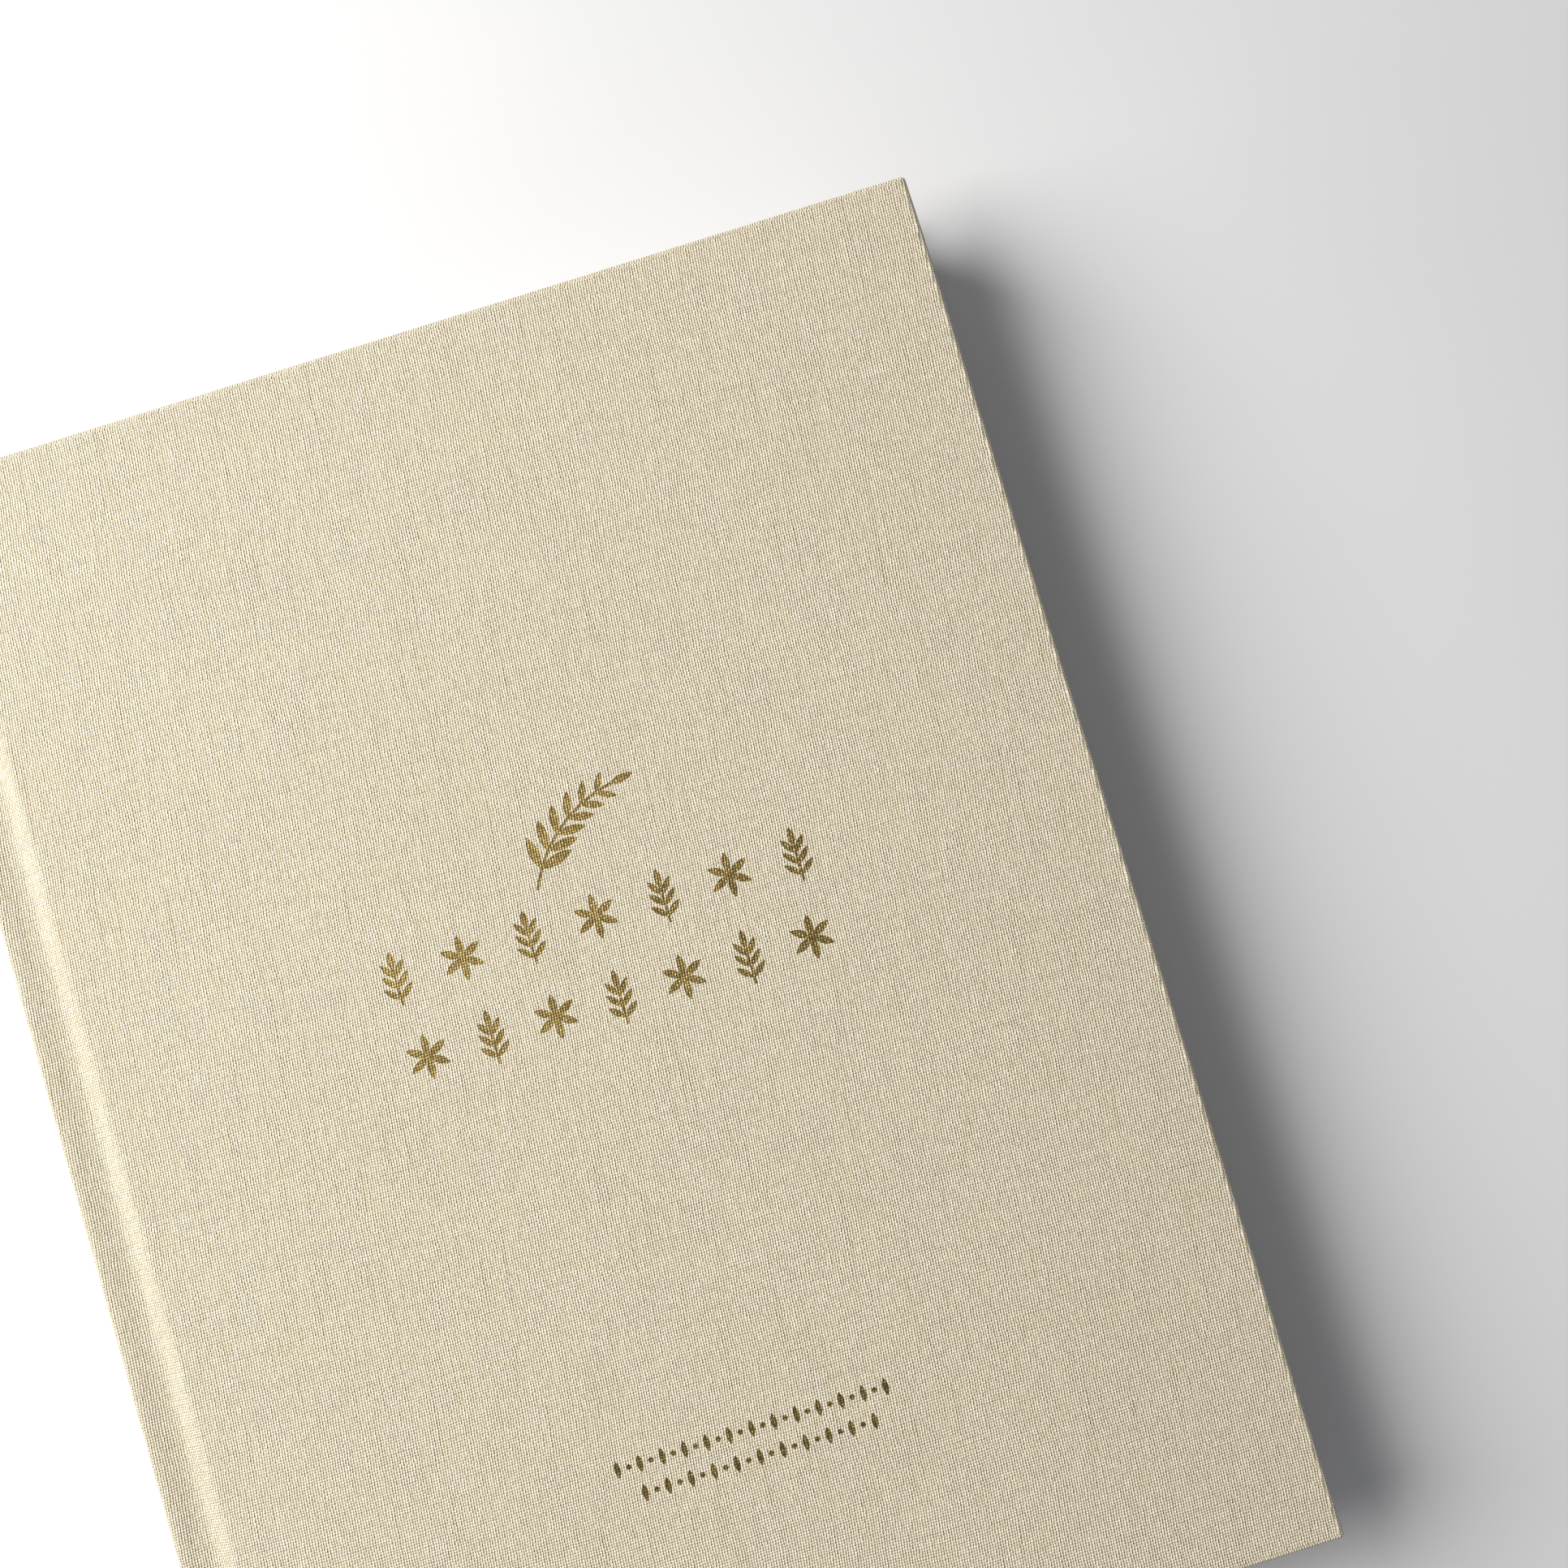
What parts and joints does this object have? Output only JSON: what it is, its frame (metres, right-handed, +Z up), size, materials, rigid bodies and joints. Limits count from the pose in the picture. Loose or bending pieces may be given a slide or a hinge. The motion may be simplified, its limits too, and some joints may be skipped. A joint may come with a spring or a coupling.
{
  "type": "hardcover journal",
  "caption": "Case-bound journal with a square spine, linen-covered boards on cloth joints, sewn paper sections and a foil-stamped front cover.",
  "frame": {"origin": "middle of the underside of the back cover, on the surface the closed book lies on", "axes": "+X from the spine to the fore edge, +Y from the tail to the head of the book, +Z up through the front cover"},
  "size_m": [0.178, 0.23, 0.0212],
  "materials": {
    "linen": "matt plain-weave book cloth",
    "foil": "stamped matt gold foil, broken by the weave",
    "greyboard": "uncoated",
    "endpaper": "uncoated",
    "leaf_paper": "uncoated",
    "kraft": "uncoated kraft",
    "mull": "open gauze",
    "band": "woven silk bead",
    "thread": "waxed"
  },
  "bodies": {
    "text_block": {"spine_board": "greyboard", "spine_cloth": "linen", "front_joint_cloth": "linen", "back_joint_cloth": "linen", "front_hinge_paper": "endpaper", "back_hinge_paper": "endpaper", "mull": "mull", "spine_lining": "kraft", "headband": "band", "tailband": "band", "sewing_thread": "thread", "section_1": "leaf_paper", "section_2": "leaf_paper", "section_3": "leaf_paper", "section_4": "leaf_paper", "section_5": "leaf_paper", "section_6": "leaf_paper", "section_7": "leaf_paper", "section_8": "leaf_paper", "section_9": "leaf_paper", "section_10": "leaf_paper"},
    "front_cover": {"front_board": "greyboard", "front_cloth": "linen", "front_pastedown": "endpaper", "front_mull_flap": "mull", "foil_sprig": "foil", "foil_upper_row": "foil", "foil_lower_row": "foil", "foil_small_rows": "foil"},
    "back_cover": {"back_board": "greyboard", "back_cloth": "linen", "back_pastedown": "endpaper", "back_mull_flap": "mull"},
    "front_flyleaf_body": {"front_flyleaf": "endpaper"},
    "back_flyleaf_body": {"back_flyleaf": "endpaper"},
    "leaf_1_body": {"leaf_1": "leaf_paper"},
    "leaf_2_body": {"leaf_2": "leaf_paper"},
    "leaf_3_body": {"leaf_3": "leaf_paper"},
    "leaf_4_body": {"leaf_4": "leaf_paper"},
    "leaf_5_body": {"leaf_5": "leaf_paper"}
  },
  "joints": [
    {"name": "front_cover_hinge", "type": "hinge", "parent": "text_block", "child": "front_cover", "pos_m": [-0.08572, 0, 0.01945], "axis": [0, -1, 0], "range_deg": [0, 179.9]},
    {"name": "back_cover_hinge", "type": "hinge", "parent": "text_block", "child": "back_cover", "pos_m": [-0.08572, 0, 0.00175], "axis": [0, 1, 0], "range_deg": [0, 179.9]},
    {"name": "front_flyleaf_turn", "type": "hinge", "parent": "text_block", "child": "front_flyleaf_body", "pos_m": [-0.08572, 0, 0.01945], "axis": [0, -1, 0], "range_deg": [0, 179.9]},
    {"name": "leaf_1_turn", "type": "hinge", "parent": "text_block", "child": "leaf_1_body", "pos_m": [-0.08572, 0, 0.01945], "axis": [0, -1, 0], "range_deg": [0, 179.9]},
    {"name": "leaf_2_turn", "type": "hinge", "parent": "text_block", "child": "leaf_2_body", "pos_m": [-0.08572, 0, 0.01945], "axis": [0, -1, 0], "range_deg": [0, 179.9]},
    {"name": "leaf_3_turn", "type": "hinge", "parent": "text_block", "child": "leaf_3_body", "pos_m": [-0.08572, 0, 0.01945], "axis": [0, -1, 0], "range_deg": [0, 179.9]},
    {"name": "leaf_4_turn", "type": "hinge", "parent": "text_block", "child": "leaf_4_body", "pos_m": [-0.08572, 0, 0.01945], "axis": [0, -1, 0], "range_deg": [0, 179.9]},
    {"name": "leaf_5_turn", "type": "hinge", "parent": "text_block", "child": "leaf_5_body", "pos_m": [-0.08572, 0, 0.01945], "axis": [0, -1, 0], "range_deg": [0, 179.9]},
    {"name": "back_flyleaf_turn", "type": "hinge", "parent": "text_block", "child": "back_flyleaf_body", "pos_m": [-0.08572, 0, 0.00175], "axis": [0, 1, 0], "range_deg": [0, 179.9]}
  ],
  "couplings": [
    {"joint": "front_flyleaf_turn", "follows": "front_cover_hinge", "ratio": 0.985},
    {"joint": "leaf_1_turn", "follows": "front_cover_hinge", "ratio": 0.965},
    {"joint": "leaf_2_turn", "follows": "front_cover_hinge", "ratio": 0.94},
    {"joint": "leaf_3_turn", "follows": "front_cover_hinge", "ratio": 0.9},
    {"joint": "leaf_4_turn", "follows": "front_cover_hinge", "ratio": 0.1},
    {"joint": "leaf_5_turn", "follows": "front_cover_hinge", "ratio": 0.04},
    {"joint": "back_flyleaf_turn", "follows": "back_cover_hinge", "ratio": 1}
  ]
}
